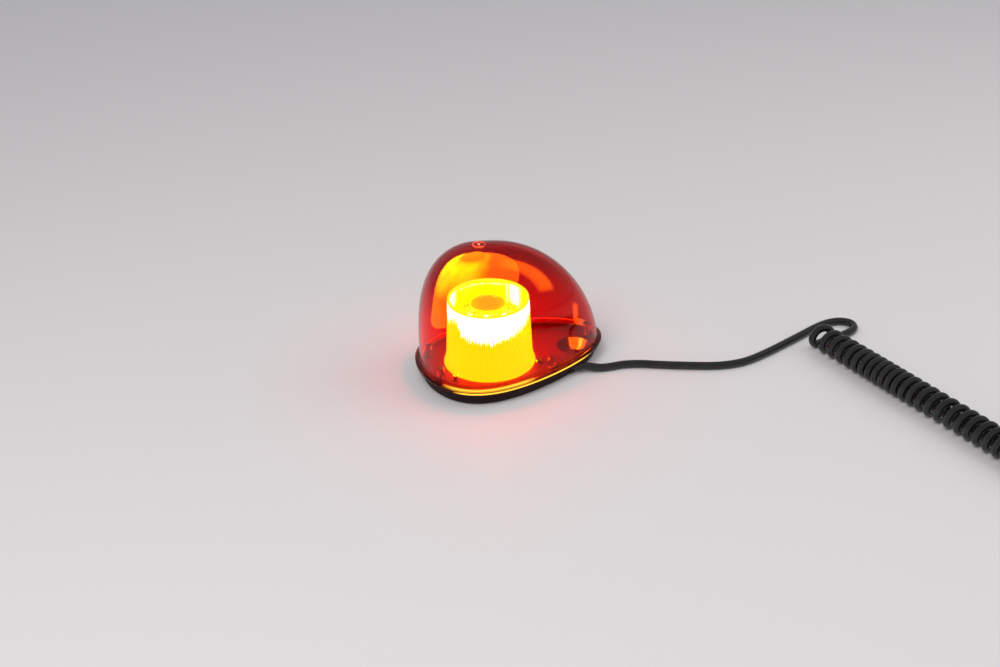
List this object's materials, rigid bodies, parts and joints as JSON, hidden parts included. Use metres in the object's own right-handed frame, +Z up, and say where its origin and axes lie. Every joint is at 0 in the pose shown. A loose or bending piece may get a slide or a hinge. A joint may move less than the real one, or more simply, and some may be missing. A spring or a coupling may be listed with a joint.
{
  "type": "magnetic rotating beacon light",
  "caption": "Rotating beacon light: teardrop dome over a fluted lens with a bulb and turning mirror, on a magnetic tray, with a lead, a curly cord and a lighter-socket plug.",
  "frame": {"origin": "centre of the magnet's face, on the surface the light stands on, straight below the lamp's axis", "axes": "+Z up along the lamp's axis, +X towards the narrow tail of the teardrop, +Y completes a right-handed frame"},
  "size_m": [0.5407, 0.4585, 0.1283],
  "materials": {
    "boot_rubber": "matt, slightly worn",
    "ferrite": "dull grey sintered magnet",
    "plated_steel": "zinc plated, satin",
    "screw_steel": "bright zinc",
    "tray_plastic": "fine moulded texture, satin",
    "gasket_foam": "soft foam",
    "dome_plastic": "clear red, polished",
    "lens_plastic": "translucent amber, fluted, lit from inside",
    "wire_red": "smooth insulation",
    "wire_black": "smooth insulation",
    "motor_steel": "plated can, brushed",
    "post_plastic": "off-white moulding",
    "brass": "satin, slightly dulled",
    "washer_nylon": "natural nylon",
    "bulb_metal": "rolled cap",
    "bulb_glass": "clear thin glass",
    "filament_wire": "tungsten coil, lit",
    "gear_plastic": "natural acetal",
    "mirror": "vacuum-metallised mirror",
    "cap_plastic": "orange, lit from below",
    "cord_rubber": "smooth black jacket with a slight sheen",
    "plug_plastic": "black moulding, fine texture",
    "contact_steel": "nickel plated spring steel",
    "fuse_glass": "clear tube with metal ends",
    "switch_plastic": "red rocker"
  },
  "bodies": {
    "base": {"magnet_boot": "boot_rubber", "magnet": "ferrite", "pole_plate": "plated_steel", "magnet_bolt": "screw_steel", "magnet_nut": "screw_steel", "base_plate": "tray_plastic", "base_screws": "screw_steel", "tray": "tray_plastic", "gasket": "gasket_foam", "dome": "dome_plastic", "dome_screws": "screw_steel", "cable_grommet": "cord_rubber", "wire_clamp": "tray_plastic", "clamp_screws": "screw_steel", "live_wire": "wire_red", "earth_wire": "wire_black", "lens": "lens_plastic", "lens_screws": "screw_steel", "chassis_pillars": "plated_steel", "pillar_screws": "screw_steel", "chassis": "plated_steel", "chassis_screws": "screw_steel", "motor": "motor_steel", "motor_screws": "screw_steel", "lamp_post": "post_plastic", "thrust_washer": "washer_nylon", "retaining_ring": "screw_steel", "lamp_socket": "brass", "socket_contact": "brass", "bulb_cap": "bulb_metal", "bulb_glass": "bulb_glass", "filament": "filament_wire", "floor_lead": "cord_rubber", "curly_cord": "cord_rubber", "plug_lead": "cord_rubber", "plug_relief": "cord_rubber", "plug_shell_upper": "plug_plastic", "plug_shell_lower": "plug_plastic", "plug_shell_screws": "screw_steel", "plug_nose": "plug_plastic", "plug_tip_spring": "contact_steel", "plug_fuse": "fuse_glass", "switch_base": "post_plastic"},
    "rotor": {"turntable": "gear_plastic", "reflector": "mirror", "reflector_screws": "screw_steel", "rotor_cap": "cap_plastic", "rotor_cap_screws": "screw_steel"},
    "pinion": {"motor_shaft": "screw_steel", "pinion": "brass"},
    "plug_tip": {"plug_tip": "brass"},
    "side_contact_left": {"side_contact_left": "contact_steel"},
    "side_contact_right": {"side_contact_right": "contact_steel"},
    "plug_switch": {"plug_switch": "switch_plastic"}
  },
  "joints": [
    {"name": "rotor_spin", "type": "hinge", "parent": "base", "child": "rotor", "pos_m": [0, 0, 0.0433], "axis": [0, 0, 1], "continuous": true},
    {"name": "pinion_spin", "type": "hinge", "parent": "base", "child": "pinion", "pos_m": [-0.01728, 0.00997, 0.0393], "axis": [0, 0, 1], "continuous": true},
    {"name": "tip_push", "type": "slide", "parent": "base", "child": "plug_tip", "axis": [0, 1, 0], "range_m": [0, 0.003], "stiffness_N_per_m": 900, "springref_m": -0.002, "deforming": ["plug_tip_spring"]},
    {"name": "left_contact_press", "type": "hinge", "parent": "base", "child": "side_contact_left", "pos_m": [0.4529, -0.3655, 0.0135], "axis": [0, 0, 1], "range_deg": [0, 7], "stiffness_Nm_per_rad": 0.5, "springref_deg": -1.15},
    {"name": "right_contact_press", "type": "hinge", "parent": "base", "child": "side_contact_right", "pos_m": [0.4691, -0.3655, 0.0135], "axis": [0, 0, -1], "range_deg": [0, 7], "stiffness_Nm_per_rad": 0.5, "springref_deg": -1.15},
    {"name": "switch_rock", "type": "hinge", "parent": "base", "child": "plug_switch", "pos_m": [0.461, -0.3385, 0.0217], "axis": [1, 0, 0], "range_deg": [0, 14]}
  ],
  "couplings": [
    {"joint": "pinion_spin", "follows": "rotor_spin", "ratio": -4.1818}
  ]
}
